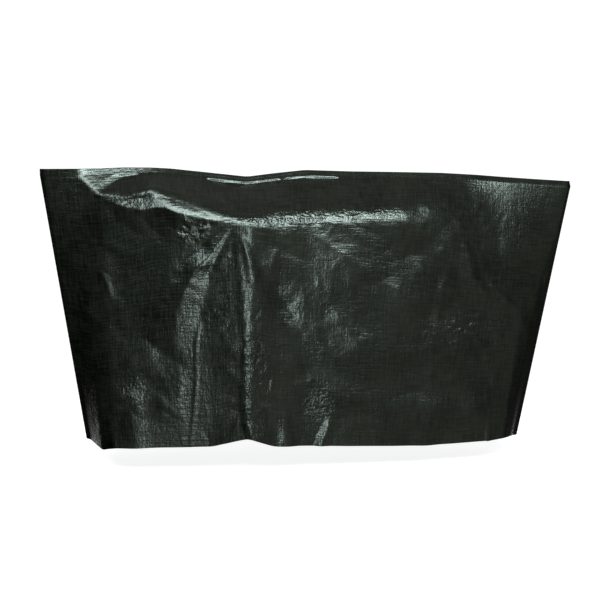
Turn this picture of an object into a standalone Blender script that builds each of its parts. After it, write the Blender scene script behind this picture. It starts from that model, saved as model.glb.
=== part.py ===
"""A fitted cover for one bicycle: two cut panels of woven polyethylene film, welded together along
the top and down both ends, open at the bottom, in the shape in which they hang over a bicycle.

Metres. X runs along the cover, the side that is looked at faces -Y, and Z is up. The origin is
where the bicycle holds the cover up: under the middle of the top seam.
"""

import bmesh
import bpy
import numpy as np

# What the maker cuts: two rectangles of this size.
CUT_LENGTH = 2.100
CUT_HEIGHT = 1.100
FILM = 0.0015  # thickness of the film
TOP_STRIP = 0.026  # width of the welded strip along the top
END_STRIP = 0.020  # width of the welded strip down each end
STRIP_LEAN = np.radians(36)  # how far the end strips lean over to the back
# (along, degrees) of the strip along the top
TOP_LEAN = ((0.00, 0), (0.15, 2), (0.18, 24), (0.38, 26), (0.50, 36), (2.10, 36))
WELD_GAP = 0.0004  # between the two films in a welded strip, along Y
SEAM_WAVE = 0.005  # how far the seams wander out of the middle plane
ROW_EASE = 0.016  # over this distance a section eases into the next one
# (along, Y) of the top seam: the left end hangs back a little
SEAM_BEND = ((0.000, 0.044), (0.157, 0.004), (0.500, 0.000), (1.850, 0.000), (2.100, 0.012))

# The mesh of a panel: stretches of the cut length and height, and how many cells each one takes.
COLUMNS = (
    # length, cells
    (END_STRIP, 1),
    (0.360, 9),
    (0.750, 18),
    (0.950, 13),
    (END_STRIP, 1),
)
ROWS = (
    (TOP_STRIP, 1),
    (0.260, 8),
    (0.814, 18),
)

# Sections across each panel, from its left end strip to its right one. From the bottom of the top
# strip a panel slopes outwards to a brow, where it turns over a radius called turn, and then hangs
# down to the hem. "out" is measured from the middle plane.
SECTION = ("along", "brow_out", "brow_z", "turn", "hem_x", "hem_out", "hem_z")
# (along, z) of the top edge, the same for both panels
TOP_EDGE = (
    (0.020, 0.037), (0.157, 0.038), (0.228, 0.038), (0.318, 0.042), (0.430, 0.041),
    (0.500, 0.037), (0.640, 0.022), (0.795, 0.005), (0.900, 0.018), (1.020, 0.030),
    (1.200, 0.024), (1.380, 0.021), (1.560, 0.017), (1.700, 0.009), (1.800, 0.001),
    (1.940, -0.009), (2.020, -0.014), (2.080, -0.018),
)
FRONT_SECTIONS = (
    (0.020, 0.000, 0.006, 0.01, -0.881, 0.000, -1.028),
    (0.157, 0.001, 0.006, 0.01, -0.826, 0.100, -1.036),
    (0.228, 0.042, -0.062, 0.02, -0.784, 0.140, -1.020),
    (0.318, 0.078, -0.070, 0.03, -0.702, 0.160, -1.018),
    (0.430, 0.118, -0.036, 0.03, -0.600, 0.172, -1.013),
    (0.500, 0.145, -0.062, 0.04, -0.536, 0.180, -1.012),
    (0.640, 0.188, -0.114, 0.04, -0.409, 0.200, -1.008),
    (0.755, 0.219, -0.147, 0.03, -0.304, 0.227, -0.980),
    (0.795, 0.227, -0.150, 0.03, -0.269, 0.235, -0.974),
    (0.900, 0.202, -0.140, 0.05, -0.174, 0.224, -1.010),
    (1.020, 0.182, -0.134, 0.05, -0.065, 0.210, -1.014),
    (1.200, 0.166, -0.130, 0.05, 0.098, 0.205, -1.022),
    (1.380, 0.150, -0.128, 0.05, 0.261, 0.195, -1.030),
    (1.480, 0.132, -0.120, 0.06, 0.352, 0.187, -1.033),
    (1.560, 0.116, -0.122, 0.09, 0.425, 0.178, -1.036),
    (1.640, 0.100, -0.150, 0.12, 0.498, 0.170, -1.036),
    (1.720, 0.084, -0.220, 0.14, 0.570, 0.162, -1.035),
    (1.800, 0.072, -0.310, 0.12, 0.640, 0.153, -1.034),
    (1.860, 0.064, -0.340, 0.12, 0.692, 0.144, -1.034),
    (1.940, 0.050, -0.340, 0.12, 0.757, 0.115, -1.034),
    (2.020, 0.028, -0.340, 0.12, 0.802, 0.058, -1.042),
    (2.080, 0.000, -0.150, 0.08, 0.833, 0.000, -1.055),
)
BACK_SECTIONS = (
    (0.020, 0.000, -0.090, 0.08, -0.881, 0.000, -1.018),
    (0.220, 0.080, -0.110, 0.12, -0.800, 0.165, -1.020),
    (0.340, 0.110, -0.105, 0.12, -0.690, 0.190, -1.030),
    (0.460, 0.145, -0.095, 0.10, -0.577, 0.200, -1.030),
    (0.620, 0.180, -0.105, 0.08, -0.430, 0.205, -1.020),
    (0.780, 0.225, -0.120, 0.06, -0.285, 0.215, -1.010),
    (0.900, 0.240, -0.140, 0.05, -0.176, 0.225, -0.995),
    (1.020, 0.205, -0.135, 0.06, -0.067, 0.215, -1.005),
    (1.200, 0.165, -0.130, 0.08, 0.096, 0.195, -1.020),
    (1.380, 0.140, -0.120, 0.10, 0.259, 0.180, -1.030),
    (1.560, 0.130, -0.130, 0.12, 0.423, 0.165, -1.035),
    (1.740, 0.105, -0.150, 0.14, 0.586, 0.140, -1.040),
    (1.930, 0.060, -0.170, 0.14, 0.748, 0.095, -1.045),
    (2.080, 0.000, -0.150, 0.08, 0.833, 0.000, -1.057),
)

# Folds, each a ridge (height above 0) or a trough (below 0) along a line on the panel, as seen from
# its own side. left and right say how far it spreads to either side of the line. Only the folds
# that are wider than a cell of the mesh are here.
# name, kind, points of (x, z, height, left, right)
FRONT_FOLDS = (
    ("band under the left brow", "tent", (
        (-0.820, -0.071, 0.000, 0.040, 0.040),
        (-0.770, -0.085, 0.003, 0.040, 0.040),
        (-0.726, -0.102, 0.009, 0.060, 0.040),
        (-0.666, -0.114, 0.016, 0.090, 0.042),
        (-0.613, -0.104, 0.014, 0.080, 0.040),
        (-0.569, -0.106, 0.013, 0.070, 0.040),
        (-0.498, -0.130, 0.011, 0.050, 0.040),
        (-0.433, -0.143, 0.006, 0.040, 0.040),
        (-0.388, -0.152, 0.003, 0.040, 0.040),
        (-0.349, -0.154, 0.000, 0.040, 0.040),
    )),
    ("short slant", "tent", (
        (0.054, -0.454, 0.000, 0.040, 0.040),
        (0.089, -0.525, 0.008, 0.080, 0.090),
        (0.154, -0.622, 0.014, 0.120, 0.120),
        (0.223, -0.686, 0.012, 0.110, 0.120),
        (0.310, -0.757, 0.000, 0.060, 0.090),
    )),
    ("grip to front tyre", "tent", (
        (-0.333, -0.172, 0.000, 0.040, 0.040),
        (-0.382, -0.240, 0.006, 0.040, 0.040),
        (-0.419, -0.289, 0.011, 0.040, 0.040),
        (-0.462, -0.323, 0.014, 0.040, 0.055),
        (-0.488, -0.376, 0.015, 0.050, 0.072),
        (-0.515, -0.433, 0.011, 0.080, 0.085),
        (-0.535, -0.494, 0.008, 0.120, 0.085),
        (-0.543, -0.600, 0.005, 0.130, 0.070),
        (-0.534, -0.752, 0.003, 0.130, 0.060),
        (-0.525, -0.887, 0.002, 0.130, 0.050),
        (-0.516, -1.005, 0.002, 0.120, 0.040),
    )),
    ("grip straight down", "tent", (
        (-0.312, -0.173, 0.000, 0.040, 0.040),
        (-0.307, -0.221, 0.002, 0.040, 0.040),
        (-0.293, -0.406, 0.002, 0.040, 0.046),
        (-0.283, -0.557, 0.002, 0.040, 0.052),
        (-0.281, -0.747, 0.003, 0.040, 0.058),
        (-0.286, -0.831, 0.005, 0.040, 0.065),
        (-0.274, -0.919, 0.006, 0.040, 0.078),
        (-0.252, -0.982, 0.009, 0.040, 0.091),
    )),
    ("beside it", "tent", (
        (-0.298, -0.190, 0.000, 0.040, 0.040),
        (-0.274, -0.264, 0.004, 0.040, 0.040),
        (-0.245, -0.369, 0.006, 0.040, 0.040),
        (-0.217, -0.453, 0.003, 0.040, 0.040),
        (-0.196, -0.521, 0.000, 0.040, 0.040),
    )),
    ("valley from grip to middle", "tent", (
        (-0.283, -0.202, 0.000, 0.040, 0.040),
        (-0.232, -0.298, -0.007, 0.040, 0.050),
        (-0.195, -0.359, -0.011, 0.040, 0.075),
        (-0.165, -0.409, -0.013, 0.050, 0.090),
        (-0.122, -0.478, -0.010, 0.055, 0.080),
        (-0.073, -0.545, 0.000, 0.050, 0.040),
    )),
    ("long slant", "tent", (
        (-0.100, -0.497, 0.000, 0.040, 0.050),
        (-0.027, -0.582, 0.006, 0.060, 0.080),
        (0.035, -0.646, 0.006, 0.060, 0.080),
        (0.101, -0.710, 0.000, 0.040, 0.070),
    )),
    ("saddle shadow", "tent", (
        (0.639, -0.041, 0.000, 0.040, 0.040),
        (0.585, -0.107, -0.003, 0.050, 0.050),
        (0.504, -0.180, -0.004, 0.070, 0.050),
        (0.430, -0.259, -0.003, 0.060, 0.050),
        (0.372, -0.317, 0.000, 0.040, 0.040),
    )),
    ("behind the saddle", "tent", (
        (0.581, -0.233, 0.000, 0.040, 0.040),
        (0.602, -0.303, 0.008, 0.050, 0.040),
        (0.617, -0.389, 0.012, 0.060, 0.040),
        (0.692, -0.479, 0.010, 0.060, 0.040),
        (0.805, -0.548, 0.000, 0.040, 0.040),
    )),
    ("rear hollow", "tent", (
        (0.350, -0.532, 0.000, 0.040, 0.040),
        (0.439, -0.521, -0.006, 0.070, 0.060),
        (0.600, -0.506, -0.008, 0.070, 0.070),
        (0.734, -0.527, -0.006, 0.070, 0.060),
        (0.825, -0.557, 0.000, 0.040, 0.040),
    )),
    ("upper band", "tent", (
        (-0.072, -0.181, 0.000, 0.040, 0.040),
        (0.062, -0.264, 0.006, 0.060, 0.070),
        (0.217, -0.374, 0.008, 0.070, 0.080),
        (0.356, -0.464, 0.006, 0.060, 0.070),
        (0.480, -0.539, 0.000, 0.040, 0.040),
    )),
    ("below the end of the brow", "tent", (
        (0.121, -0.160, 0.000, 0.040, 0.040),
        (0.316, -0.255, -0.007, 0.084, 0.072),
        (0.462, -0.375, -0.005, 0.072, 0.060),
        (0.530, -0.470, 0.000, 0.040, 0.040),
    )),
    ("front tyre", "round", (
        (-0.700, -0.740, 0.000, 0.050, 0.050),
        (-0.705, -0.880, 0.002, 0.060, 0.070),
        (-0.700, -1.030, 0.002, 0.060, 0.070),
    )),
    ("hem left of the middle", "round", (
        (-0.135, -0.880, 0.000, 0.040, 0.040),
        (-0.127, -1.020, 0.010, 0.050, 0.060),
    )),
    ("hem at the middle", "tent", (
        (0.056, -0.880, 0.000, 0.040, 0.040),
        (0.035, -0.940, 0.006, 0.040, 0.040),
        (0.000, -1.030, 0.010, 0.040, 0.040),
    )),
    ("hem by the rear tyre", "round", (
        (0.440, -0.760, 0.000, 0.060, 0.060),
        (0.420, -1.050, 0.008, 0.080, 0.080),
    )),
)
BACK_FOLDS = (
    ("far grip to front tyre", "crease", (
        (-0.170, -0.150, 0.006, 0.040, 0.050),
        (-0.300, -0.420, 0.026, 0.080, 0.090),
        (-0.430, -0.720, 0.022, 0.090, 0.100),
        (-0.480, -1.040, 0.020, 0.090, 0.100),
    )),
    ("far grip straight down", "crease", (
        (-0.165, -0.155, 0.008, 0.040, 0.040),
        (-0.150, -0.400, 0.022, 0.060, 0.070),
        (-0.140, -0.700, 0.020, 0.070, 0.080),
        (-0.150, -1.030, 0.024, 0.070, 0.080),
    )),
    ("far grip to rear tyre", "round", (
        (-0.150, -0.160, 0.006, 0.040, 0.040),
        (0.020, -0.380, 0.020, 0.070, 0.080),
        (0.230, -0.650, 0.010, 0.080, 0.090),
        (0.380, -0.860, 0.000, 0.080, 0.090),
    )),
    ("saddle to hem", "round", (
        (0.420, -0.180, 0.004, 0.080, 0.080),
        (0.440, -0.560, 0.012, 0.100, 0.100),
        (0.460, -1.050, 0.014, 0.100, 0.100),
    )),
    ("far left corner", "round", (
        (-0.830, -0.110, 0.006, 0.070, 0.100),
        (-0.800, -1.040, 0.012, 0.080, 0.120),
    )),
    ("far hem at the middle", "round", (
        (0.130, -0.800, 0.000, 0.060, 0.060),
        (0.110, -1.040, 0.014, 0.070, 0.070),
    )),
)
SEAM_FADE = 0.060  # folds die out over this distance from a welded strip

FILM_COLOUR = (0.012, 0.020, 0.016)
FILM_ROUGHNESS = 0.32


def clear_scene():
    """Takes away whatever is in the scene."""
    for obj in list(bpy.data.objects):
        bpy.data.objects.remove(obj, do_unlink=True)


def film_material(name):
    """Dark green polyethylene film with a gloss."""
    material = bpy.data.materials.new(name)
    material.use_nodes = True
    shader = material.node_tree.nodes["Principled BSDF"]
    shader.inputs["Base Color"].default_value = (*FILM_COLOUR, 1.0)
    shader.inputs["Roughness"].default_value = FILM_ROUGHNESS
    shader.inputs["Metallic"].default_value = 0.0
    return material


def stations(stretches):
    """The places of the mesh lines, worked out from stretches of (length, cells)."""
    places = [0.0]
    for length, cells in stretches:
        start = places[-1]
        places.extend(start + length * (cell + 1) / cells for cell in range(cells))
    return np.array(places)


def column_of(table, name):
    """One named column of the section table as an array."""
    return np.array([row[SECTION.index(name)] for row in table])


def through(places, values, at):
    """The values of a table read at any places: straight between rows, eased over at each one."""
    nearby = np.linspace(-ROW_EASE, ROW_EASE, 9)
    low, high = places[0], places[-1]
    reach = np.minimum(1.0, np.minimum(at - low, high - at) / ROW_EASE)
    return sum(np.interp(at + reach * step, places, values) for step in nearby) / len(nearby)


def eased(distance, radius):
    """0 before a corner and the distance past it after, blended over the radius."""
    near = (distance + radius) ** 2 / (4 * radius)
    return np.where(distance > radius, distance, np.where(distance < -radius, 0.0, near))


def faded(distance, over):
    """0 at a seam, rising smoothly to 1."""
    part = np.clip(distance / over, 0.0, 1.0)
    return part * part * (3 - 2 * part)


def top_lean(along):
    """How far the strip above the top seam leans back from upright."""
    return np.radians(through(*np.transpose(TOP_LEAN), along))


def hanging_sheet(sections, along, down):
    """X, out and Z of each point of a panel as it hangs from seam to brow to hem, without folds."""
    inside = np.clip(along, END_STRIP, CUT_LENGTH - END_STRIP)
    place = column_of(sections, "along")
    read = {name: through(place, column_of(sections, name), inside) for name in SECTION[1:]}
    seam_z = through(*np.transpose(TOP_EDGE), inside) - TOP_STRIP * np.cos(top_lean(along))
    slope_length = np.hypot(read["brow_out"], seam_z - read["brow_z"])
    side_length = np.hypot(read["hem_out"] - read["brow_out"], read["brow_z"] - read["hem_z"])
    share = np.clip(down - TOP_STRIP, 0.0, None) / (CUT_HEIGHT - TOP_STRIP)
    gone = share * (slope_length + side_length)
    turn = np.minimum(read["turn"], 0.9 * slope_length)
    on_slope = slope_length - eased(slope_length - gone, turn)
    on_side = eased(gone - slope_length, turn)
    out = read["brow_out"] * on_slope / slope_length
    out += (read["hem_out"] - read["brow_out"]) * on_side / side_length
    z = seam_z - (seam_z - read["brow_z"]) * on_slope / slope_length
    z -= (read["brow_z"] - read["hem_z"]) * on_side / side_length
    z += np.clip(TOP_STRIP - down, 0.0, None) * np.cos(top_lean(along))
    top_x = inside - CUT_LENGTH / 2
    x = top_x + (read["hem_x"] - top_x) * share + (along - inside) * np.cos(STRIP_LEAN)
    return x, out, z


def seam_middle(along, down):
    """Y of the middle of the two films: the seams wander a little, and their strips lean back."""
    over_top = np.clip(TOP_STRIP - down, 0.0, None)
    past_end = np.clip(END_STRIP - np.minimum(along, CUT_LENGTH - along), 0.0, None)
    wander = SEAM_WAVE * np.sin(3.1 * along + 0.6) * np.cos(2.2 * down)
    bend = through(*np.transpose(SEAM_BEND), along)
    return bend + wander + over_top * np.sin(top_lean(along)) + past_end * np.sin(STRIP_LEAN)


PROFILES = {
    # flat flanks, flanks that steepen towards the crest, or a smooth swell
    "tent": lambda across: across,
    "crease": lambda across: across**2,
    "round": lambda across: across**2 * (3 - 2 * across),
}


def fold_height(x, z, kind, points):
    """How far one fold stands out at each point of a panel."""
    best = np.full(x.shape, np.inf)
    height = np.zeros(x.shape)
    for start, end in zip(points, points[1:]):
        start, end = np.array(start), np.array(end)
        run_x, run_z = end[:2] - start[:2]
        length = np.hypot(run_x, run_z)
        part = ((x - start[0]) * run_x + (z - start[1]) * run_z) / length**2
        part = np.clip(part, 0.0, 1.0)
        off_x = x - start[0] - part * run_x
        off_z = z - start[1] - part * run_z
        distance = np.hypot(off_x, off_z)
        to_right = (off_z * run_x - off_x * run_z) > 0
        _, _, tall, left, right = (start[k] + part * (end[k] - start[k]) for k in range(5))
        across = np.clip(1 - distance / np.where(to_right, right, left), 0.0, 1.0)
        shape = tall * PROFILES[kind](across)
        nearer = distance < best
        best = np.where(nearer, distance, best)
        height = np.where(nearer, shape, height)
    return height


def panel_points(sections, folds, side, along, down):
    """Every point of a panel's inner face. side is -1 for the front panel and 1 for the back."""
    x, out, z = hanging_sheet(sections, along, down)
    from_end = np.minimum(along, CUT_LENGTH - along) - END_STRIP
    free = faded(from_end, SEAM_FADE) * faded(down - TOP_STRIP, SEAM_FADE)
    for _, kind, points in folds:
        out = out + free * fold_height(x, z, kind, points)
    y = seam_middle(along, down) + side * (WELD_GAP / 2 + np.clip(out, 0.0, None))
    return np.stack([x, y, z], axis=-1)


def make_panel(name, sections, folds, side):
    """One panel as a closed film: a flat grid of cloth, moved to where it hangs, then thickened."""
    columns, rows = stations(COLUMNS), stations(ROWS)
    cells_along, cells_down = len(columns) - 1, len(rows) - 1
    cloth = bmesh.new()
    bmesh.ops.create_grid(cloth, x_segments=cells_along, y_segments=cells_down, size=1.0)
    flat = np.array([vertex.co for vertex in cloth.verts])
    column = np.rint((flat[:, 0] + 1) / 2 * cells_along).astype(int)
    row = np.rint((1 - flat[:, 1]) / 2 * cells_down).astype(int)
    places = panel_points(sections, folds, side, columns[column], rows[row])
    for vertex, place in zip(cloth.verts, places):
        vertex.co = place
    if side > 0:
        bmesh.ops.reverse_faces(cloth, faces=cloth.faces)
    mesh = bpy.data.meshes.new(name)
    cloth.to_mesh(mesh)
    cloth.free()
    mesh.shade_smooth()
    panel = bpy.data.objects.new(name, mesh)
    bpy.context.collection.objects.link(panel)
    panel.data.materials.append(film_material(name))
    film = panel.modifiers.new("film", "SOLIDIFY")
    film.thickness = FILM
    film.offset = 1.0
    return panel


clear_scene()
make_panel("front_panel", FRONT_SECTIONS, FRONT_FOLDS, side=-1)
make_panel("back_panel", BACK_SECTIONS, BACK_FOLDS, side=1)
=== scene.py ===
# %% [markdown]
# # A bicycle cover of woven film
#
# The real cover is two rectangles of woven polyethylene film, welded together along the top and
# down both ends, and pulled over a bicycle. The film is limp, glossy and almost black, so nearly
# all that an eye sees of it is which way each small patch of it faces. This lesson therefore
# spends its effort on the shape: how the film hangs, the folds that run from the handlebar, and
# the creases that packing left in it. Colour comes last and is simple.

import bmesh
import bpy
import numpy as np
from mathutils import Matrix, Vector


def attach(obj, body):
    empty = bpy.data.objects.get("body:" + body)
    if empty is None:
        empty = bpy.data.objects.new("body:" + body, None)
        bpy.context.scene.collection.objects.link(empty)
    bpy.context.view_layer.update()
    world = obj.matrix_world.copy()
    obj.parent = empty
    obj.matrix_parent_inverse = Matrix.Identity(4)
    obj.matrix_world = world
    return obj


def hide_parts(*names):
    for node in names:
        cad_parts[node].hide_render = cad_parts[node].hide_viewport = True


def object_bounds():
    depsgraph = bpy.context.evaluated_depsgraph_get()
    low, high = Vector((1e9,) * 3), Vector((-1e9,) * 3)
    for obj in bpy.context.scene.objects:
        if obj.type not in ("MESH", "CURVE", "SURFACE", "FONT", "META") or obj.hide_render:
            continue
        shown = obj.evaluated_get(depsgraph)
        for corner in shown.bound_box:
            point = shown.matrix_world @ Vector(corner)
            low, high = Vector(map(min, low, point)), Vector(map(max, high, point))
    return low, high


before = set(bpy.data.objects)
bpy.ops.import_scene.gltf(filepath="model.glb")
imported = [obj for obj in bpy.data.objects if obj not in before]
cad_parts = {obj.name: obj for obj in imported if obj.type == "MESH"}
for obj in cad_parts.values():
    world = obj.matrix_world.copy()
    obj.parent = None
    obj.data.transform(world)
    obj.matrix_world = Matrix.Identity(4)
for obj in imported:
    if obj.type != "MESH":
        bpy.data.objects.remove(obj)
CAD_LOW, CAD_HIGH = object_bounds()
print("the model's box:", [round(v, 3) for v in CAD_LOW], [round(v, 3) for v in CAD_HIGH])

# %% [markdown]
# ## Where the camera stands
#
# The cover is looked at from its left side, a little from the front wheel's end and from just
# above its top edge. A long lens keeps the two ends nearly the same size. The distance comes from
# the cover's own length, so that the camera would stand further back from a longer cover.

# %% Camera
LENGTH = CAD_HIGH[0] - CAD_LOW[0]
LOOK_AT = Vector((-0.027, 0.0, -0.503))
CAMERA_TURN = np.radians(-6.7)  # towards the front wheel's end
CAMERA_RISE = np.radians(8.3)
CAMERA_DISTANCE = 2.17 * LENGTH
LENS_PER_SENSOR = 1.881

away = Vector(
    (
        np.sin(CAMERA_TURN) * np.cos(CAMERA_RISE),
        -np.cos(CAMERA_TURN) * np.cos(CAMERA_RISE),
        np.sin(CAMERA_RISE),
    )
)
camera = bpy.data.objects.new("camera", bpy.data.cameras.new("camera"))
camera.location = LOOK_AT + CAMERA_DISTANCE * away
camera.rotation_euler = (-away).to_track_quat("-Z", "Y").to_euler()
camera.data.sensor_width = 36.0
camera.data.lens = LENS_PER_SENSOR * camera.data.sensor_width
camera.data.dof.use_dof = False
bpy.context.collection.objects.link(camera)
bpy.context.scene.camera = camera
print("camera at", [round(v, 3) for v in camera.location], "lens", round(camera.data.lens, 1))

# %% [markdown]
# ## Shader sums in plain Python
#
# A pattern on film is arithmetic on numbers that vary over the surface. Wiring each Math node by
# hand hides that arithmetic, so a small class wraps a socket and lets Python's own operators add
# the nodes. Every other node comes from one method that takes its type, settings and inputs.


# %% The wrapper
class Wire:
    """One output socket of a shader, with arithmetic."""

    def __init__(self, sheet, socket):
        self.sheet = sheet
        self.socket = socket

    def maths(self, operation, *values):
        """A Math node on these values."""
        return self.sheet.add("ShaderNodeMath", {"operation": operation}, dict(enumerate(values)))

    def __add__(self, other):
        return self.maths("ADD", self, other)

    def __radd__(self, other):
        return self.maths("ADD", other, self)

    def __sub__(self, other):
        return self.maths("SUBTRACT", self, other)

    def __rsub__(self, other):
        return self.maths("SUBTRACT", other, self)

    def __mul__(self, other):
        return self.maths("MULTIPLY", self, other)

    def __rmul__(self, other):
        return self.maths("MULTIPLY", other, self)

    def __abs__(self):
        return self.maths("ABSOLUTE", self)


class ShaderSheet:
    """A node tree that nodes are added to."""

    def __init__(self, tree):
        self.tree = tree

    def add(self, kind, settings=None, inputs=None, output=0):
        """Adds a node of this kind, fills its sockets, and gives back one of its outputs."""
        node = self.tree.nodes.new(kind)
        for name, value in (settings or {}).items():
            setattr(node, name, value)
        for name, value in (inputs or {}).items():
            if isinstance(value, Wire):
                self.tree.links.new(value.socket, node.inputs[name])
            else:
                node.inputs[name].default_value = value
        return Wire(self, node.outputs[output]) if node.outputs else None


print("shader wrapper ready")

# %% [markdown]
# ## A plain studio
#
# Glossy film shows its surroundings. Here they are a small pale floor, a bright backdrop behind
# the cover and a grey room in front of it. The room has a dark gap behind the camera, a paler
# window far round to the right, a dim ceiling, and a dark wall on the front wheel's side, which is
# why that end of the cover looks almost black. Three soft boxes hang high, for facets that lean
# back, and a narrow one stands low in front, for the flanks of upright folds. The room is made up
# so that the film shows light and dark in the right places.

# %% Floor
FLOOR_Z = -1.13
FLOOR_RADIUS = 1.15
FLOOR_BACK = 0.8  # how far its middle lies behind the cover

floor_shape = bmesh.new()
bmesh.ops.create_circle(floor_shape, cap_ends=True, radius=FLOOR_RADIUS, segments=96)
bmesh.ops.translate(floor_shape, verts=floor_shape.verts, vec=(0, FLOOR_BACK, FLOOR_Z))
floor_mesh = bpy.data.meshes.new("studio_floor")
floor_shape.to_mesh(floor_mesh)
floor_shape.free()
floor = bpy.data.objects.new("studio_floor", floor_mesh)
bpy.context.collection.objects.link(floor)
floor_material = bpy.data.materials.new("pale_floor")
floor_material.use_nodes = True
floor_shader = floor_material.node_tree.nodes["Principled BSDF"]
floor_shader.inputs["Base Color"].default_value = (0.45, 0.45, 0.45, 1)
floor_shader.inputs["Roughness"].default_value = 0.9
floor_shader.inputs["Specular IOR Level"].default_value = 0.0
floor_shader.inputs["Emission Color"].default_value = (1.0, 1.0, 1.0, 1)
floor_shader.inputs["Emission Strength"].default_value = 0.85
floor.data.materials.append(floor_material)
print("floor", 2 * FLOOR_RADIUS, "m across")


# %% Sky
def step_up(value, low, high):
    """0 below low, 1 above high, and smooth between."""
    settings = {"interpolation_type": "SMOOTHSTEP"}
    inputs = {"Value": value, "From Min": low, "From Max": high}
    return value.sheet.add("ShaderNodeMapRange", settings, inputs)


BACKDROP = 1.10  # behind the cover
AHEAD = 0.56
GAP = 0.15  # the dark stretch behind the camera
WINDOW = 0.60  # far round to the right
SIDES = 0.10
LEFT = 0.04
RIGHT_DROP = 0.38  # how much of the light ahead is lost to the right of the cover
UPPER = 0.46  # how much of that is left above eye level
CEILING = 0.26

world = bpy.data.worlds.new("studio")
world.use_nodes = True
world.node_tree.nodes.clear()
sky = ShaderSheet(world.node_tree)
looking = {"Vector": sky.add("ShaderNodeTexCoord")}
right, behind, up = (sky.add("ShaderNodeSeparateXYZ", inputs=looking, output=n) for n in range(3))
room = AHEAD * (1.0 - RIGHT_DROP * step_up(right, 0.34, 0.50))
room = room * (1.0 - (1.0 - GAP) * step_up(right, -0.06, 0.04) * (1.0 - step_up(right, 0.13, 0.31)))
room = room * (1.0 - (1.0 - LEFT) * step_up(0.0 - right, 0.12, 0.58))
room = room + (WINDOW - AHEAD) * step_up(right, 0.74, 0.90)
room = room * (1.0 - (1.0 - SIDES) * step_up(behind, -0.45, 0.05))
room = room * (1.0 - (1.0 - UPPER) * step_up(up, -0.20, 0.22))
room = room + (CEILING - room) * step_up(up, 0.50, 0.80)
light = room + (BACKDROP - room) * step_up(behind, 0.70, 0.84) * (1.0 - step_up(up, 0.45, 0.75))
glow = sky.add("ShaderNodeBackground", inputs={"Color": (1.0, 1.0, 1.0, 1), "Strength": light})
sky.add("ShaderNodeOutputWorld", inputs={"Surface": glow})
bpy.context.scene.world = world
bpy.context.scene.view_settings.view_transform = "Standard"
print("sky ready")


# %% Lights
def soft_box(name, turn, rise, distance, width, height, power, colour):
    """An area light on a stand, turned to face the middle of the cover."""
    data = bpy.data.lights.new(name, "AREA")
    data.shape = "RECTANGLE"
    data.size, data.size_y = width, height
    data.energy = power
    data.color = colour
    box = bpy.data.objects.new(name, data)
    turn, rise = np.radians(turn), np.radians(rise)
    towards = Vector((np.sin(turn) * np.cos(rise), -np.cos(turn) * np.cos(rise), np.sin(rise)))
    box.location = LOOK_AT + distance * towards
    box.rotation_euler = (-towards).to_track_quat("-Z", "Y").to_euler()
    box.visible_camera = False
    bpy.context.collection.objects.link(box)
    return box


COOL = (0.86, 1.0, 1.16)
# name, turn, rise in degrees, distance, width, height in metres, power in watts
soft_box("high_soft_box", 7, 38, 4.2, 2.8, 1.5, 430, COOL)
soft_box("high_left_soft_box", -30, 38, 4.2, 2.8, 1.5, 275, COOL)
soft_box("high_right_soft_box", 27, 27, 4.2, 1.2, 1.1, 30, COOL)
soft_box("front_soft_box", -8, 0, 5.2, 0.75, 1.5, 105, COOL)
print("lights ready")

# %% [markdown]
# ## How the film hangs
#
# Each panel is one rectangle of film. Near the top it is welded to its twin in a narrow strip,
# which leans over to the back except at the front wheel's end. From there it slopes outwards to a
# brow, where the handlebar and the saddle hold it off, and then it drops to the hem. A table of
# sections along the top edge says how far out the brow and the hem are at each place. Between two
# sections the shape runs straight, eased over a little at each one. The same sections shape the
# simple solid that these sheets replace, which has only the broader folds.

# %% Sections
CUT_LENGTH = 2.100
CUT_HEIGHT = 1.100
TOP_STRIP = 0.026  # width of the welded strip along the top
END_STRIP = 0.020  # width of the welded strip down each end
STRIP_LEAN = np.radians(36)  # how far the end strips lean over to the back
# (along, degrees) of the strip along the top
TOP_LEAN = ((0.00, 0), (0.15, 2), (0.18, 24), (0.38, 26), (0.50, 36), (2.10, 36))
WELD_GAP = 0.0004  # between the two films in a welded strip, along Y
# (along, Y) of the top seam: the front wheel's end hangs back a little
SEAM_BEND = ((0.000, 0.044), (0.157, 0.004), (0.500, 0.000), (1.850, 0.000), (2.100, 0.012))
SEAM_WAVE = 0.005  # how far the seams wander out of the middle plane
ROW_EASE = 0.016  # over this distance a section eases into the next one

SECTION = ("along", "brow_out", "brow_z", "turn", "hem_x", "hem_out", "hem_z")
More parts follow.
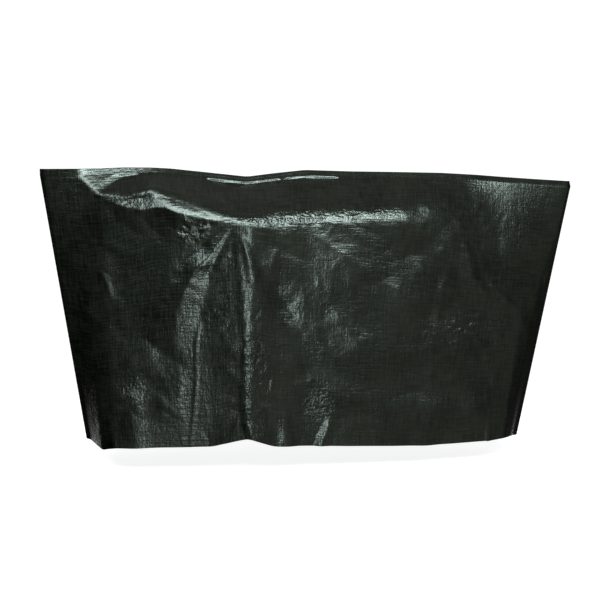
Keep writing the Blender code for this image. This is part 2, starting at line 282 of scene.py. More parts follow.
# (along, z) of the top edge, the same for both panels
TOP_EDGE = (
    (0.020, 0.037), (0.157, 0.038), (0.228, 0.038), (0.318, 0.042), (0.430, 0.041),
    (0.500, 0.037), (0.640, 0.022), (0.795, 0.005), (0.900, 0.018), (1.020, 0.030),
    (1.200, 0.024), (1.380, 0.021), (1.560, 0.017), (1.700, 0.009), (1.800, 0.001),
    (1.940, -0.009), (2.020, -0.014), (2.080, -0.018),
)
FRONT_SECTIONS = (
    (0.020, 0.000, 0.006, 0.01, -0.881, 0.000, -1.028),
    (0.157, 0.001, 0.006, 0.01, -0.826, 0.100, -1.036),
    (0.228, 0.042, -0.062, 0.02, -0.784, 0.140, -1.020),
    (0.318, 0.078, -0.070, 0.03, -0.702, 0.160, -1.018),
    (0.430, 0.118, -0.036, 0.03, -0.600, 0.172, -1.013),
    (0.500, 0.145, -0.062, 0.04, -0.536, 0.180, -1.012),
    (0.640, 0.188, -0.114, 0.04, -0.409, 0.200, -1.008),
    (0.755, 0.219, -0.147, 0.03, -0.304, 0.227, -0.980),
    (0.795, 0.227, -0.150, 0.03, -0.269, 0.235, -0.974),
    (0.900, 0.202, -0.140, 0.05, -0.174, 0.224, -1.010),
    (1.020, 0.182, -0.134, 0.05, -0.065, 0.210, -1.014),
    (1.200, 0.166, -0.130, 0.05, 0.098, 0.205, -1.022),
    (1.380, 0.150, -0.128, 0.05, 0.261, 0.195, -1.030),
    (1.480, 0.132, -0.120, 0.06, 0.352, 0.187, -1.033),
    (1.560, 0.116, -0.122, 0.09, 0.425, 0.178, -1.036),
    (1.640, 0.100, -0.150, 0.12, 0.498, 0.170, -1.036),
    (1.720, 0.084, -0.220, 0.14, 0.570, 0.162, -1.035),
    (1.800, 0.072, -0.310, 0.12, 0.640, 0.153, -1.034),
    (1.860, 0.064, -0.340, 0.12, 0.692, 0.144, -1.034),
    (1.940, 0.050, -0.340, 0.12, 0.757, 0.115, -1.034),
    (2.020, 0.028, -0.340, 0.12, 0.802, 0.058, -1.042),
    (2.080, 0.000, -0.150, 0.08, 0.833, 0.000, -1.055),
)
BACK_SECTIONS = (
    (0.020, 0.000, -0.090, 0.08, -0.881, 0.000, -1.018),
    (0.220, 0.080, -0.110, 0.12, -0.800, 0.165, -1.020),
    (0.340, 0.110, -0.105, 0.12, -0.690, 0.190, -1.030),
    (0.460, 0.145, -0.095, 0.10, -0.577, 0.200, -1.030),
    (0.620, 0.180, -0.105, 0.08, -0.430, 0.205, -1.020),
    (0.780, 0.225, -0.120, 0.06, -0.285, 0.215, -1.010),
    (0.900, 0.240, -0.140, 0.05, -0.176, 0.225, -0.995),
    (1.020, 0.205, -0.135, 0.06, -0.067, 0.215, -1.005),
    (1.200, 0.165, -0.130, 0.08, 0.096, 0.195, -1.020),
    (1.380, 0.140, -0.120, 0.10, 0.259, 0.180, -1.030),
    (1.560, 0.130, -0.130, 0.12, 0.423, 0.165, -1.035),
    (1.740, 0.105, -0.150, 0.14, 0.586, 0.140, -1.040),
    (1.930, 0.060, -0.170, 0.14, 0.748, 0.095, -1.045),
    (2.080, 0.000, -0.150, 0.08, 0.833, 0.000, -1.057),
)
print(len(FRONT_SECTIONS), "sections a panel")


# %% From sections to a hanging sheet
def column_of(table, name):
    """One named column of the section table as an array."""
    return np.array([row[SECTION.index(name)] for row in table])


def through(places, values, at):
    """The values of a table read at any places: straight between rows, eased over at each one."""
    nearby = np.linspace(-ROW_EASE, ROW_EASE, 9)
    low, high = places[0], places[-1]
    reach = np.minimum(1.0, np.minimum(at - low, high - at) / ROW_EASE)
    return sum(np.interp(at + reach * step, places, values) for step in nearby) / len(nearby)


def eased(distance, radius):
    """0 before a corner and the distance past it after, blended over the radius."""
    near = (distance + radius) ** 2 / (4 * radius)
    return np.where(distance > radius, distance, np.where(distance < -radius, 0.0, near))


def faded(distance, over):
    """0 at a seam, rising smoothly to 1."""
    part = np.clip(distance / over, 0.0, 1.0)
    return part * part * (3 - 2 * part)


def top_lean(along):
    """How far the strip above the top seam leans back from upright."""
    return np.radians(through(*np.transpose(TOP_LEAN), along))


def hanging_sheet(sections, along, down):
    """X, out and Z of each point of a panel as it hangs from seam to brow to hem, without folds."""
    inside = np.clip(along, END_STRIP, CUT_LENGTH - END_STRIP)
    place = column_of(sections, "along")
    read = {name: through(place, column_of(sections, name), inside) for name in SECTION[1:]}
    seam_z = through(*np.transpose(TOP_EDGE), inside) - TOP_STRIP * np.cos(top_lean(along))
    slope_length = np.hypot(read["brow_out"], seam_z - read["brow_z"])
    side_length = np.hypot(read["hem_out"] - read["brow_out"], read["brow_z"] - read["hem_z"])
    share = np.clip(down - TOP_STRIP, 0.0, None) / (CUT_HEIGHT - TOP_STRIP)
    gone = share * (slope_length + side_length)
    turn = np.minimum(read["turn"], 0.9 * slope_length)
    on_slope = slope_length - eased(slope_length - gone, turn)
    on_side = eased(gone - slope_length, turn)
    out = read["brow_out"] * on_slope / slope_length
    out += (read["hem_out"] - read["brow_out"]) * on_side / side_length
    z = seam_z - (seam_z - read["brow_z"]) * on_slope / slope_length
    z -= (read["brow_z"] - read["hem_z"]) * on_side / side_length
    z += np.clip(TOP_STRIP - down, 0.0, None) * np.cos(top_lean(along))
    top_x = inside - CUT_LENGTH / 2
    x = top_x + (read["hem_x"] - top_x) * share + (along - inside) * np.cos(STRIP_LEAN)
    return x, out, z


def seam_middle(along, down):
    """Y of the middle of the two films: the seams wander a little, and their strips lean back."""
    over_top = np.clip(TOP_STRIP - down, 0.0, None)
    past_end = np.clip(END_STRIP - np.minimum(along, CUT_LENGTH - along), 0.0, None)
    wander = SEAM_WAVE * np.sin(3.1 * along + 0.6) * np.cos(2.2 * down)
    bend = through(*np.transpose(SEAM_BEND), along)
    return bend + wander + over_top * np.sin(top_lean(along)) + past_end * np.sin(STRIP_LEAN)


print("hanging shape ready")

# %% [markdown]
# ## The folds
#
# Film can't stretch, so where the handlebar pushes it out it breaks into straight ridges that
# fan out from the grip. Each fold is a line on the panel with a height, and with how far it
# spreads to either side: a narrow side is a steep flank, which turns dark or bright. A tent has
# flat flanks, a crease steepens towards its crest, and a round fold rolls over. Most of these
# folds are shallow, and the back panel's are free inventions of the same kind.

# %% Folds of the front panel
# name, kind, points of (x, z, height, left, right)
FRONT_FOLDS = (
    ("band under the left brow", "tent", (
        (-0.820, -0.071, 0.000, 0.015, 0.006),
        (-0.770, -0.085, 0.003, 0.025, 0.012),
        (-0.726, -0.102, 0.009, 0.060, 0.026),
        (-0.666, -0.114, 0.016, 0.090, 0.042),
        (-0.613, -0.104, 0.014, 0.080, 0.040),
        (-0.569, -0.106, 0.013, 0.070, 0.038),
        (-0.498, -0.130, 0.011, 0.050, 0.036),
        (-0.433, -0.143, 0.006, 0.022, 0.022),
        (-0.388, -0.152, 0.003, 0.012, 0.012),
        (-0.349, -0.154, 0.000, 0.010, 0.010),
    )),
    ("right edge of its face", "crease", (
        (-0.449, -0.514, 0.000, 0.012, 0.015),
        (-0.466, -0.615, 0.002, 0.015, 0.018),
        (-0.467, -0.766, 0.002, 0.015, 0.018),
        (-0.477, -0.894, 0.002, 0.015, 0.018),
        (-0.493, -1.004, 0.002, 0.012, 0.015),
    )),
    ("short slant", "tent", (
        (0.054, -0.454, 0.000, 0.030, 0.040),
        (0.089, -0.525, 0.008, 0.080, 0.090),
        (0.154, -0.622, 0.014, 0.120, 0.120),
        (0.223, -0.686, 0.012, 0.110, 0.120),
        (0.310, -0.757, 0.000, 0.060, 0.090),
    )),
    ("valley to the top", "tent", (
        (-0.410, -0.006, -0.008, 0.015, 0.040),
        (-0.372, -0.049, -0.012, 0.025, 0.060),
        (-0.327, -0.102, -0.003, 0.015, 0.030),
    )),
    ("grip to front tyre", "tent", (
        (-0.333, -0.172, 0.000, 0.012, 0.008),
        (-0.382, -0.240, 0.006, 0.032, 0.018),
        (-0.419, -0.289, 0.011, 0.035, 0.030),
        (-0.462, -0.323, 0.014, 0.040, 0.055),
        (-0.488, -0.376, 0.015, 0.050, 0.072),
        (-0.515, -0.433, 0.011, 0.080, 0.085),
        (-0.535, -0.494, 0.008, 0.120, 0.085),
        (-0.543, -0.600, 0.005, 0.130, 0.070),
        (-0.534, -0.752, 0.003, 0.130, 0.060),
        (-0.525, -0.887, 0.002, 0.130, 0.050),
        (-0.516, -1.005, 0.002, 0.120, 0.040),
    )),
    ("grip straight down", "tent", (
        (-0.312, -0.173, 0.000, 0.020, 0.019),
        (-0.307, -0.221, 0.002, 0.020, 0.033),
        (-0.293, -0.406, 0.002, 0.020, 0.046),
        (-0.283, -0.557, 0.002, 0.020, 0.052),
        (-0.281, -0.747, 0.003, 0.022, 0.058),
        (-0.286, -0.831, 0.005, 0.026, 0.065),
        (-0.274, -0.919, 0.006, 0.026, 0.078),
        (-0.252, -0.982, 0.009, 0.026, 0.091),
    )),
    ("beside it", "tent", (
        (-0.298, -0.190, 0.000, 0.008, 0.010),
        (-0.274, -0.264, 0.004, 0.018, 0.020),
        (-0.245, -0.369, 0.006, 0.030, 0.025),
        (-0.217, -0.453, 0.003, 0.035, 0.030),
        (-0.196, -0.521, 0.000, 0.030, 0.030),
    )),
    ("valley from grip to middle", "tent", (
        (-0.283, -0.202, 0.000, 0.010, 0.010),
        (-0.232, -0.298, -0.007, 0.025, 0.050),
        (-0.195, -0.359, -0.011, 0.040, 0.075),
        (-0.165, -0.409, -0.013, 0.050, 0.090),
        (-0.122, -0.478, -0.010, 0.055, 0.080),
        (-0.073, -0.545, 0.000, 0.050, 0.040),
    )),
    ("long slant", "tent", (
        (-0.100, -0.497, 0.000, 0.030, 0.050),
        (-0.027, -0.582, 0.006, 0.060, 0.080),
        (0.035, -0.646, 0.006, 0.060, 0.080),
        (0.101, -0.710, 0.000, 0.040, 0.070),
    )),
    ("dark valley left of it", "tent", (
        (-0.363, -0.177, 0.000, 0.010, 0.010),
        (-0.423, -0.233, -0.005, 0.060, 0.025),
        (-0.470, -0.285, 0.000, 0.040, 0.030),
    )),
    ("saddle shadow", "tent", (
        (0.639, -0.041, 0.000, 0.020, 0.030),
        (0.585, -0.107, -0.003, 0.050, 0.050),
        (0.504, -0.180, -0.004, 0.070, 0.050),
        (0.430, -0.259, -0.003, 0.060, 0.050),
        (0.372, -0.317, 0.000, 0.030, 0.030),
    )),
    ("behind the saddle", "tent", (
        (0.581, -0.233, 0.000, 0.020, 0.020),
        (0.602, -0.303, 0.008, 0.050, 0.030),
        (0.617, -0.389, 0.012, 0.060, 0.035),
        (0.692, -0.479, 0.010, 0.060, 0.035),
        (0.805, -0.548, 0.000, 0.030, 0.020),
    )),
    ("rear glint", "crease", (
        (0.668, -0.383, 0.000, 0.010, 0.010),
        (0.721, -0.440, 0.006, 0.030, 0.020),
        (0.778, -0.497, 0.005, 0.030, 0.020),
        (0.820, -0.541, 0.000, 0.010, 0.010),
    )),
    ("rear hollow", "tent", (
        (0.350, -0.532, 0.000, 0.020, 0.030),
        (0.439, -0.521, -0.006, 0.070, 0.060),
        (0.600, -0.506, -0.008, 0.070, 0.070),
        (0.734, -0.527, -0.006, 0.070, 0.060),
        (0.825, -0.557, 0.000, 0.020, 0.030),
    )),
    ("eye", "crease", (
        (0.362, -0.584, 0.000, 0.006, 0.010),
        (0.419, -0.578, -0.005, 0.010, 0.014),
        (0.472, -0.592, 0.000, 0.006, 0.010),
    )),
    ("long eye", "crease", (
        (0.497, -0.589, 0.000, 0.006, 0.010),
        (0.565, -0.579, -0.006, 0.012, 0.016),
        (0.637, -0.610, -0.005, 0.010, 0.014),
        (0.726, -0.644, -0.003, 0.008, 0.012),
        (0.818, -0.674, 0.000, 0.006, 0.010),
    )),
    ("upper band", "tent", (
        (-0.072, -0.181, 0.000, 0.030, 0.040),
        (0.062, -0.264, 0.006, 0.060, 0.070),
        (0.217, -0.374, 0.008, 0.070, 0.080),
        (0.356, -0.464, 0.006, 0.060, 0.070),
        (0.480, -0.539, 0.000, 0.030, 0.040),
    )),
    ("below the end of the brow", "tent", (
        (0.121, -0.160, 0.000, 0.036, 0.036),
        (0.316, -0.255, -0.007, 0.084, 0.072),
        (0.462, -0.375, -0.005, 0.072, 0.060),
        (0.530, -0.470, 0.000, 0.036, 0.036),
    )),
    ("low band", "round", (
        (-0.075, -0.726, 0.000, 0.040, 0.040),
        (0.120, -0.823, 0.008, 0.070, 0.070),
        (0.399, -0.895, 0.008, 0.080, 0.080),
        (0.649, -0.901, 0.000, 0.050, 0.050),
    )),
    ("left hollow", "round", (
        (-0.819, -0.211, 0.000, 0.030, 0.030),
        (-0.775, -0.311, -0.002, 0.060, 0.060),
        (-0.732, -0.415, -0.002, 0.060, 0.050),
        (-0.695, -0.498, 0.000, 0.030, 0.030),
    )),
    ("left brow", "tent", (
        (-0.822, -0.058, 0.003, 0.015, 0.020),
        (-0.732, -0.069, 0.006, 0.020, 0.030),
        (-0.665, -0.050, 0.006, 0.020, 0.025),
        (-0.622, -0.037, 0.002, 0.015, 0.015),
    )),
    ("left dent", "tent", (
        (-0.948, -0.515, 0.000, 0.020, 0.020),
        (-0.904, -0.546, -0.010, 0.040, 0.030),
        (-0.860, -0.560, 0.000, 0.030, 0.020),
    )),
    ("facet above the left dent", "tent", (
        (-0.951, -0.491, 0.000, 0.015, 0.030),
        (-0.879, -0.505, 0.008, 0.030, 0.060),
        (-0.809, -0.549, 0.002, 0.020, 0.030),
    )),
    ("curl above it", "crease", (
        (-0.830, -0.340, 0.000, 0.010, 0.015),
        (-0.806, -0.371, 0.006, 0.015, 0.025),
        (-0.785, -0.430, 0.004, 0.015, 0.025),
        (-0.778, -0.465, 0.000, 0.010, 0.015),
    )),
    ("front tyre", "round", (
        (-0.700, -0.740, 0.000, 0.050, 0.050),
        (-0.705, -0.880, 0.002, 0.060, 0.070),
        (-0.700, -1.030, 0.002, 0.060, 0.070),
    )),
    ("left of the front tyre", "tent", (
        (-0.792, -0.880, 0.000, 0.015, 0.015),
        (-0.788, -1.000, 0.003, 0.020, 0.020),
        (-0.786, -1.040, 0.003, 0.020, 0.020),
    )),
    ("shoulder", "tent", (
        (-0.648, -0.613, 0.000, 0.040, 0.080),
        (-0.590, -0.690, -0.003, 0.050, 0.090),
        (-0.535, -0.764, 0.000, 0.040, 0.060),
    )),
    ("hem left of the middle", "round", (
        (-0.135, -0.880, 0.000, 0.040, 0.040),
        (-0.127, -1.020, 0.010, 0.050, 0.060),
    )),
    ("hem at the middle", "tent", (
        (0.056, -0.880, 0.000, 0.020, 0.020),
        (0.035, -0.940, 0.006, 0.025, 0.030),
        (0.000, -1.030, 0.010, 0.030, 0.040),
    )),
    ("right corner", "crease", (
        (0.683, -0.922, 0.000, 0.015, 0.020),
        (0.679, -1.050, 0.008, 0.020, 0.030),
    )),
    ("hem by the rear tyre", "round", (
        (0.440, -0.760, 0.000, 0.060, 0.060),
        (0.420, -1.050, 0.008, 0.080, 0.080),
    )),
)

# close under the top seam: a stretch that starts out flatter than the slope, and small pleats
FRONT_SEAM_FOLDS = (
    ("valley above the left brow", "tent", (
        (-0.822, -0.056, 0.000, 0.010, 0.020),
        (-0.780, -0.024, -0.007, 0.025, 0.030),
        (-0.735, 0.002, -0.011, 0.040, 0.026),
        (-0.680, 0.016, -0.006, 0.040, 0.014),
        (-0.640, 0.024, 0.000, 0.020, 0.010),
    )),
    ("under the seam", "tent", (
        (-0.425, 0.000, 0.000, 0.010, 0.010),
        (-0.395, -0.008, -0.010, 0.012, 0.014),
        (-0.340, -0.019, -0.014, 0.014, 0.016),
        (-0.285, -0.027, -0.016, 0.014, 0.018),
        (-0.210, -0.023, -0.014, 0.014, 0.016),
        (-0.140, -0.013, -0.011, 0.012, 0.014),
        (-0.118, -0.009, -0.003, 0.010, 0.012),
        (-0.100, -0.007, -0.011, 0.012, 0.014),
        (0.000, -0.003, -0.012, 0.012, 0.014),
        (0.095, -0.004, -0.010, 0.012, 0.014),
        (0.110, -0.004, 0.000, 0.010, 0.010),
    )),
    ("pleat", "tent", ((0.096, 0.006, 0.006, 0.008, 0.012), (0.103, -0.018, 0.000, 0.006, 0.008))),
    ("pleat", "tent", ((0.182, 0.006, 0.008, 0.008, 0.012), (0.188, -0.018, 0.000, 0.006, 0.008))),
    ("pleat", "tent", ((0.478, 0.004, 0.012, 0.012, 0.016), (0.488, -0.032, 0.000, 0.008, 0.010))),
    ("pleat", "tent", ((0.572, 0.002, 0.008, 0.008, 0.012), (0.580, -0.016, 0.000, 0.006, 0.008))),
    ("pleat", "tent", ((0.602, 0.000, 0.008, 0.008, 0.012), (0.608, -0.016, 0.000, 0.006, 0.008))),
)
print(len(FRONT_FOLDS), "folds on the front panel")

# %% Folds of the back panel
BACK_FOLDS = (
    ("far grip to front tyre", "crease", (
        (-0.170, -0.150, 0.006, 0.040, 0.050),
        (-0.300, -0.420, 0.026, 0.080, 0.090),
        (-0.430, -0.720, 0.022, 0.090, 0.100),
        (-0.480, -1.040, 0.020, 0.090, 0.100),
    )),
    ("far grip straight down", "crease", (
        (-0.165, -0.155, 0.008, 0.040, 0.040),
        (-0.150, -0.400, 0.022, 0.060, 0.070),
        (-0.140, -0.700, 0.020, 0.070, 0.080),
        (-0.150, -1.030, 0.024, 0.070, 0.080),
    )),
    ("far grip to rear tyre", "round", (
        (-0.150, -0.160, 0.006, 0.040, 0.040),
        (0.020, -0.380, 0.020, 0.070, 0.080),
        (0.230, -0.650, 0.010, 0.080, 0.090),
        (0.380, -0.860, 0.000, 0.080, 0.090),
    )),
    ("saddle to hem", "round", (
        (0.420, -0.180, 0.004, 0.080, 0.080),
        (0.440, -0.560, 0.012, 0.100, 0.100),
        (0.460, -1.050, 0.014, 0.100, 0.100),
    )),
    ("far left corner", "round", (
        (-0.830, -0.110, 0.006, 0.070, 0.100),
        (-0.800, -1.040, 0.012, 0.080, 0.120),
    )),
    ("far hem at the middle", "round", (
        (0.130, -0.800, 0.000, 0.060, 0.060),
        (0.110, -1.040, 0.014, 0.070, 0.070),
    )),
)
BACK_SEAM_FOLDS = (
    ("under the seam", "tent", (
        (-0.300, -0.020, -0.006, 0.012, 0.014),
        (0.300, 0.000, -0.006, 0.012, 0.014),
    )),
)
print(len(BACK_FOLDS), "folds on the back panel")


# %% The height of one fold
PROFILES = {
    # flat flanks, flanks that steepen towards the crest, or a smooth swell
    "tent": lambda across: across,
    "crease": lambda across: across**2,
    "round": lambda across: across**2 * (3 - 2 * across),
}


def fold_height(x, z, kind, points):
    """How far one fold stands out at each point of a panel."""
    best = np.full(x.shape, np.inf)
    height = np.zeros(x.shape)
    for start, end in zip(points, points[1:]):
        start, end = np.array(start), np.array(end)
        run_x, run_z = end[:2] - start[:2]
        length = np.hypot(run_x, run_z)
        part = ((x - start[0]) * run_x + (z - start[1]) * run_z) / length**2
        part = np.clip(part, 0.0, 1.0)
        off_x = x - start[0] - part * run_x
        off_z = z - start[1] - part * run_z
        distance = np.hypot(off_x, off_z)
        to_right = (off_z * run_x - off_x * run_z) > 0
        _, _, tall, left, right = (start[k] + part * (end[k] - start[k]) for k in range(5))
        across = np.clip(1 - distance / np.where(to_right, right, left), 0.0, 1.0)
        shape = tall * PROFILES[kind](across)
        nearer = distance < best
        best = np.where(nearer, distance, best)
        height = np.where(nearer, shape, height)
    return height


print("folds ready")

# %% [markdown]
# ## Crinkles
#
# Thin film never lies smooth: wherever it was squeezed it keeps clusters of short straight
# creases. Setting each one by hand would be a list of hundreds of rows, so a zone says where a
# cluster is, which way its creases mostly run and how big they are, and a seeded random
# generator scatters them there. The same seed gives the same film every time.

# %% Where the film is crumpled
CRUMPLED_ALL_OVER = 0.18
CRUMPLED = ("x", "z", "half_x", "half_z", "amount")
FRONT_CRUMPLED = (
    (-0.130, -0.140, 0.200, 0.028, 1.0),
    (0.160, -0.125, 0.220, 0.028, 0.6),
    (-0.690, -0.075, 0.090, 0.035, 0.4),
    (-0.540, -0.070, 0.120, 0.030, 0.25),
    (-0.470, -0.180, 0.060, 0.055, 0.8),
    (-0.710, -0.800, 0.060, 0.080, 0.5),
    (-0.370, -0.520, 0.060, 0.040, 0.3),
    (-0.480, -0.650, 0.040, 0.200, 0.25),
    (-0.240, -0.780, 0.060, 0.260, 0.5),
    (0.000, -0.860, 0.060, 0.060, 0.7),
    (0.780, -0.180, 0.130, 0.130, 0.15),
    (0.500, -0.600, 0.200, 0.050, 0.5),
    (-0.840, -0.860, 0.050, 0.120, 0.3),
)
BACK_CRUMPLED = (
    (-0.100, -0.140, 0.250, 0.040, 1.0),
    (-0.250, -0.500, 0.200, 0.300, 0.5),
    (0.600, -0.300, 0.250, 0.200, 0.5),
)


def crumpled(x, z, spots):
    """How crumpled the film is at each point: a little everywhere, more in the listed spots."""
    total = np.full(x.shape, CRUMPLED_ALL_OVER)
    for row in spots:
        spot = dict(zip(CRUMPLED, row))
        off = np.hypot((x - spot["x"]) / spot["half_x"], (z - spot["z"]) / spot["half_z"])
        total = np.maximum(total, spot["amount"] * faded(1.4 - off, 0.8))
    return total


print(len(FRONT_CRUMPLED), "crumpled spots on the front panel")

# %% Zones of crinkles
ZONE = ("x", "z", "half_x", "half_z", "count", "angle", "spread", "length", "width", "height")
FRONT_ZONES = (
    # over the brow, from the grip to the right
    (-0.200, -0.140, 0.160, 0.022, 60, 80, 30, 0.030, 0.008, 0.0018),
    (0.080, -0.125, 0.200, 0.022, 50, 70, 35, 0.030, 0.008, 0.0014),
    # under the left brow
    (-0.470, -0.180, 0.060, 0.055, 60, -50, 25, 0.040, 0.010, 0.0020),
    (-0.660, -0.055, 0.120, 0.025, 50, 20, 60, 0.030, 0.009, 0.0014),
    # on the bright flanks below the grip
    (-0.230, -0.780, 0.060, 0.160, 60, 85, 20, 0.050, 0.010, 0.0018),
    (-0.260, -0.480, 0.050, 0.200, 40, 80, 15, 0.060, 0.010, 0.0012),
    (-0.450, -0.560, 0.070, 0.120, 40, 0, 30, 0.040, 0.009, 0.0012),
    # beside the front tyre
    (-0.700, -0.840, 0.050, 0.080, 50, 45, 50, 0.030, 0.009, 0.0011),
    (-0.830, -0.850, 0.060, 0.120, 30, 85, 20, 0.060, 0.012, 0.0020),
    # the right-hand end
    (0.720, -0.220, 0.120, 0.160, 50, 75, 25, 0.060, 0.012, 0.0010),
    (0.520, -0.560, 0.160, 0.050, 30, 5, 12, 0.060, 0.012, 0.0020),
    # everywhere: broad dents, then faint lines along and across the weave
    (0.000, -0.520, 1.050, 0.560, 110, -35, 40, 0.300, 0.080, 0.0036),
    (0.000, -0.500, 1.000, 0.560, 420, -10, 55, 0.090, 0.022, 0.0011),
    (0.000, -0.500, 1.000, 0.560, 420, 0, 10, 0.070, 0.010, 0.0007),
    (0.000, -0.500, 1.000, 0.560, 360, 90, 10, 0.060, 0.010, 0.0006),
)
BACK_ZONES = (
    (-0.100, -0.140, 0.200, 0.030, 60, 80, 30, 0.035, 0.009, 0.0016),
    (-0.250, -0.500, 0.200, 0.300, 80, 70, 25, 0.060, 0.011, 0.0014),
    (0.600, -0.300, 0.250, 0.200, 60, 60, 30, 0.050, 0.011, 0.0014),
    (0.000, -0.520, 1.050, 0.560, 110, -25, 60, 0.200, 0.045, 0.0018),
    (0.000, -0.500, 1.000, 0.560, 420, -10, 55, 0.090, 0.022, 0.0011),
    (0.000, -0.500, 1.000, 0.560, 420, 0, 10, 0.070, 0.010, 0.0007),
    (0.000, -0.500, 1.000, 0.560, 360, 90, 10, 0.060, 0.010, 0.0006),
)


def crinkle_height(x, z, zones, seed):
    """Hundreds of short straight creases, scattered over their zones."""
    chance = np.random.default_rng(seed)
    total = np.zeros(x.shape)
    for row in zones:
        zone = dict(zip(ZONE, row))
        for _ in range(zone["count"]):
            reach = np.sqrt(chance.random())
            bearing = chance.random() * 2 * np.pi
            middle_x = zone["x"] + zone["half_x"] * reach * np.cos(bearing)
            middle_z = zone["z"] + zone["half_z"] * reach * np.sin(bearing)
            angle = np.radians(chance.normal(zone["angle"], zone["spread"]))
            half = zone["length"] / 2 * chance.uniform(0.5, 1.5)
            width = zone["width"] * chance.uniform(0.7, 1.5)
            tall = zone["height"] * chance.uniform(0.4, 1.3) * chance.choice((-1, 1))
            end_x, end_z = half * np.cos(angle), half * np.sin(angle)
            near = (abs(x - middle_x) < half + width) & (abs(z - middle_z) < half + width)
            if not near.any():
                continue
            points = (
                (middle_x - end_x, middle_z - end_z, 0.0, width * 0.5, width * 0.5),
                (middle_x, middle_z, tall, width, width),
                (middle_x + end_x, middle_z + end_z, 0.0, width * 0.5, width * 0.5),
            )
            total[near] += fold_height(x[near], z[near], "crease", points)
    return total


print(sum(row[ZONE.index("count")] for row in FRONT_ZONES), "crinkles on the front panel")

# %% [markdown]
# ## From flat film to a hanging panel
#
# A panel starts as a flat grid of cloth, as it was cut, and each point of it is moved to where it
# hangs. The grid is finer round the handlebar, where the folds are close together. Its UV map
# keeps each point's place on the flat film in metres, so the weave follows the cloth into its
# folds. A Solidify modifier then gives the film its thickness, outwards from the inner face.

# %% Mesh lines of a panel
FILM = 0.0010  # thicker than real film, so that both of its faces show cleanly
SEAM_FADE = 0.030  # over this distance from a seam the folds fade in
SEAM_FOLD_FADE = 0.010  # the same for the small folds close under the top seam
CUT_EDGE = 0.001
COLUMNS = (
    # length, cells: a narrow one at each cut edge keeps the edge crisp
    (CUT_EDGE, 1),
    (END_STRIP - CUT_EDGE, 3),
    (0.360, 50),
    (0.750, 130),
    (0.950, 112),
    (END_STRIP - CUT_EDGE, 3),
    (CUT_EDGE, 1),
)
ROWS = (
    (CUT_EDGE, 1),
    (TOP_STRIP - 2 * CUT_EDGE, 3),
    (2 * CUT_EDGE, 1),
    (0.299, 60),
    (0.773 - CUT_EDGE, 91),
    (CUT_EDGE, 1),
)


def stations(stretches):
    """The places of the mesh lines, worked out from stretches of (length, cells)."""
    places = [0.0]
    for length, cells in stretches:
        start = places[-1]
        places.extend(start + length * (cell + 1) / cells for cell in range(cells))
    return np.array(places)


def panel_points(sections, folds, seam_folds, zones, seed, facing, along, down):
    """Every point of a panel's inner face. facing is -1 for the front panel and 1 for the back."""
    x, out, z = hanging_sheet(sections, along, down)
    from_end = np.minimum(along, CUT_LENGTH - along) - END_STRIP
    free = faded(from_end, SEAM_FADE) * faded(down - TOP_STRIP, SEAM_FADE)
    flat_x, flat_z = x.copy(), z.copy()
    for _, kind, points in folds:
        out = out + free * fold_height(flat_x, flat_z, kind, points)
    out = out + free * crinkle_height(flat_x, flat_z, zones, seed)
    near_seam = faded(down - TOP_STRIP, SEAM_FOLD_FADE)
    for _, kind, points in seam_folds:
        out = out + near_seam * fold_height(flat_x, flat_z, kind, points)
    y = seam_middle(along, down) + facing * (WELD_GAP / 2 + np.clip(out, 0.0, None))
    return np.stack([x, y, z], axis=-1)


def make_panel(name, sections, folds, seam_folds, zones, spots, seed, facing):
    """One panel: a flat grid of film, moved to where it hangs, then thickened."""
    columns, rows = stations(COLUMNS), stations(ROWS)
    cells_along, cells_down = len(columns) - 1, len(rows) - 1
    cloth = bmesh.new()
    bmesh.ops.create_grid(cloth, x_segments=cells_along, y_segments=cells_down, size=1.0)
    flat = np.array([vertex.co for vertex in cloth.verts])
    along = columns[np.rint((flat[:, 0] + 1) / 2 * cells_along).astype(int)]
    down = rows[np.rint((1 - flat[:, 1]) / 2 * cells_down).astype(int)]
    places = panel_points(sections, folds, seam_folds, zones, seed, facing, along, down)
    cut = cloth.loops.layers.uv.new("cut")
    for face in cloth.faces:
        for corner in face.loops:
            corner[cut].uv = along[corner.vert.index], down[corner.vert.index]
    for vertex, place in zip(cloth.verts, places):
        vertex.co = place
    if facing > 0:
        bmesh.ops.reverse_faces(cloth, faces=cloth.faces)
    mesh = bpy.data.meshes.new(name)
    cloth.to_mesh(mesh)
    cloth.free()
    creased = mesh.attributes.new("crumple", "FLOAT", "POINT")
    creased.data.foreach_set("value", crumpled(places[:, 0], places[:, 2], spots))
    mesh.shade_smooth()
    panel = bpy.data.objects.new(name, mesh)
    bpy.context.collection.objects.link(panel)
    film = panel.modifiers.new("film", "SOLIDIFY")
    film.thickness = FILM
    film.offset = 1.0
    print(name, len(mesh.polygons), "cells")
    return panel


front_film = make_panel(
    "front_film", FRONT_SECTIONS, FRONT_FOLDS, FRONT_SEAM_FOLDS, FRONT_ZONES, FRONT_CRUMPLED, 3, -1
)
back_film = make_panel(
    "back_film", BACK_SECTIONS, BACK_FOLDS, BACK_SEAM_FOLDS, BACK_ZONES, BACK_CRUMPLED, 4, 1
)

# %% [markdown]
# ## The film's finish
#
# Woven film is flat tapes of polyethylene, about 2.5 mm wide, laid over and under each other and
# coated on both sides. From a few metres the tapes don't show one by one: what shows is a fine
# grid of streaks where some tapes sit prouder than their neighbours. The gloss is that of
# plastic, a little uneven because the coating has been handled.

# %% Film material
FILM_DARK = (0.0002, 0.0003, 0.0001, 1)
FILM_LIGHT = (0.0036, 0.0038, 0.0024, 1)


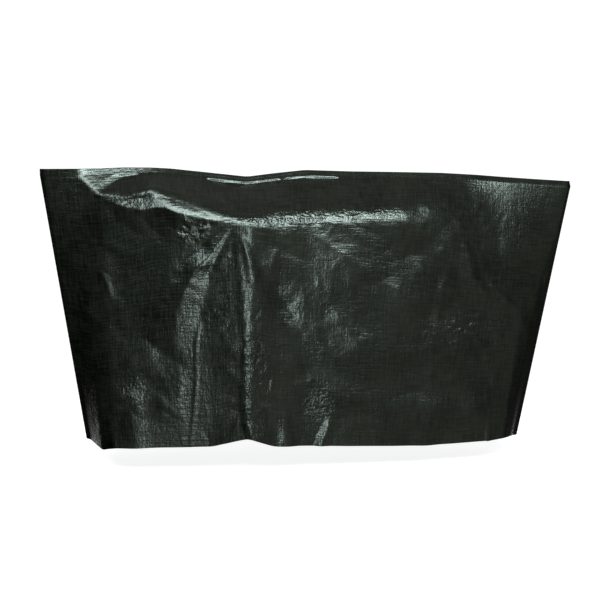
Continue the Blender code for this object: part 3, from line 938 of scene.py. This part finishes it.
def make_film(name):
    """Glossy woven film, its pattern laid out on the flat cut panel."""
    material = bpy.data.materials.new(name)
    material.use_nodes = True
    shader = material.node_tree.nodes["Principled BSDF"]
    sheet = ShaderSheet(material.node_tree)
    cut = sheet.add("ShaderNodeUVMap", {"uv_map": "cut"})

    def pattern(kind, scale, stretch, **settings):
        """A noise or cell pattern on the flat film, stretched along or across it."""
        place = sheet.add("ShaderNodeMapping", inputs={"Vector": cut, "Scale": stretch})
        return sheet.add(kind, inputs={"Vector": place, "Scale": scale, **settings})

    def noise(scale, stretch, detail=2.0):
        return pattern("ShaderNodeTexNoise", scale, stretch, Detail=detail, Roughness=0.55)

    weft = noise(25, (0.5, 6.0, 1.0))
    warp = noise(25, (6.0, 0.5, 1.0))
    grain = noise(110, (1.0, 1.0, 1.0), 3.0)
    cloud = noise(6, (1.0, 1.0, 1.0), 3.0)
    creases = abs(noise(22, (1.0, 1.6, 1.0)) - 0.5)
    small_creases = abs(noise(48, (1.5, 0.8, 1.0)) - 0.5)
    crumple = sheet.add("ShaderNodeAttribute", {"attribute_name": "crumple"}, output=2)

    streaks = (weft + warp) * 0.5
    shade = step_up(streaks * 0.7 + cloud * 0.3, 0.35, 0.65)
    tint = sheet.add(
        "ShaderNodeMix",
        {"data_type": "RGBA"},
        {0: shade, 6: FILM_DARK, 7: FILM_LIGHT},
        output=2,
    )
    rough = 0.16 + 0.14 * streaks + 0.06 * cloud
    height = weft * 0.9 + warp * 0.6 + grain * 0.45
    height = height + (creases * 9.0 + small_creases * 6.0) * crumple
    bump = sheet.add(
        "ShaderNodeBump",
        inputs={"Height": height, "Strength": 1.0, "Distance": 0.0010},
    )
    for socket, wire in (("Base Color", tint), ("Roughness", rough), ("Normal", bump)):
        sheet.tree.links.new(wire.socket, shader.inputs[socket])
    shader.inputs["Specular IOR Level"].default_value = 0.36
    shader.inputs["Specular Tint"].default_value = (0.93, 1.0, 0.80, 1)
    return material


film_material = make_film("woven_film")
for panel in (front_film, back_film):
    panel.data.materials.append(film_material)
print("film finish ready")

# %% [markdown]
# ## Taking the solids' place
#
# Each sheet rides on the cover's one body and takes the place of its simple solid, which is hidden.

# %% Ride and replace
for panel, solid in ((front_film, "front_panel"), (back_film, "back_panel")):
    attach(panel, "root")
    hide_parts(solid)
